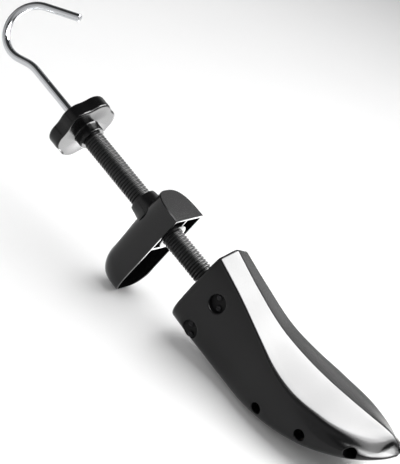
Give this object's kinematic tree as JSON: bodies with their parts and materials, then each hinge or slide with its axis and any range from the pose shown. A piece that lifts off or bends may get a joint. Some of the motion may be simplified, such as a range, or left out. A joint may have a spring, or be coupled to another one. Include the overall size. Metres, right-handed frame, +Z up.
{
  "type": "shoe stretcher",
  "caption": "Two-way shoe stretcher: split last spread by an inner wedge, threaded tube with star knob and sliding heel block, and a hooked rod that turns the wedge screw.",
  "frame": {"origin": "on the ground under the middle of the bounding box", "axes": "+X towards the toe of the last, +Y to the left side seen from the heel end, +Z up; the screw slopes down to the toe by 14.3 degrees in the XZ plane"},
  "size_m": [0.438, 0.0772, 0.1531],
  "materials": {
    "last_black": "moulded plastic, satin to gloss",
    "shell_black": "moulded plastic, satin",
    "knob_black": "moulded plastic, glossy",
    "screw_black": "moulded thread, satin",
    "works_black": "glass-filled nylon, dull",
    "ramp_pale": "acetal, natural",
    "chrome": "bright plated steel",
    "steel": "zinc plated",
    "washer_brass": "plain",
    "nut_brass": "cast and turned"
  },
  "bodies": {
    "carrier": {"carrier": "works_black", "carrier_cap": "works_black", "carrier_cap_screws": "steel", "thrust_washers": "washer_brass", "guide_stubs_upper": "works_black", "guide_stubs_lower": "works_black", "guide_stub_screws": "steel"},
    "tube": {"threaded_tube": "screw_black", "tube_retaining_ring": "steel", "star_knob": "knob_black", "knob_set_screw": "steel"},
    "heel": {"heel_block": "shell_black"},
    "hook": {"hook_rod": "chrome", "rod_thrust_collar": "steel", "collar_pin": "steel", "hook_rod_stop_nut": "steel"},
    "wedge": {"wedge_nut": "nut_brass"},
    "left": {"last_left": "last_black", "ramp_left": "ramp_pale", "ramp_screws_left": "steel"},
    "right": {"last_right": "last_black", "ramp_right": "ramp_pale", "ramp_screws_right": "steel"}
  },
  "joints": [
    {"name": "knob_turn", "type": "hinge", "parent": "carrier", "child": "tube", "pos_m": [0.03798, 0, 0.0507], "axis": [0.969, 0, -0.247], "range_deg": [-5400, 7560]},
    {"name": "heel_slide", "type": "slide", "parent": "carrier", "child": "heel", "axis": [0.969, 0, -0.247], "range_m": [-0.0525, 0.0375]},
    {"name": "hook_turn", "type": "hinge", "parent": "carrier", "child": "hook", "pos_m": [0.03798, 0, 0.0507], "axis": [0.969, 0, -0.247], "range_deg": [0, 2520]},
    {"name": "wedge_slide", "type": "slide", "parent": "carrier", "child": "wedge", "axis": [0.969, 0, -0.247], "range_m": [-0.0105, 0]},
    {"name": "left_slide", "type": "slide", "parent": "carrier", "child": "left", "axis": [0, 1, 0], "range_m": [0, 0.00606]},
    {"name": "right_slide", "type": "slide", "parent": "carrier", "child": "right", "axis": [0, -1, 0], "range_m": [0, 0.00606]}
  ],
  "couplings": [
    {"joint": "heel_slide", "follows": "knob_turn", "m_per_rad": -0.00039789},
    {"joint": "wedge_slide", "follows": "hook_turn", "m_per_rad": -0.00023873},
    {"joint": "left_slide", "follows": "hook_turn", "m_per_rad": 0.00013783},
    {"joint": "right_slide", "follows": "hook_turn", "m_per_rad": 0.00013783}
  ]
}
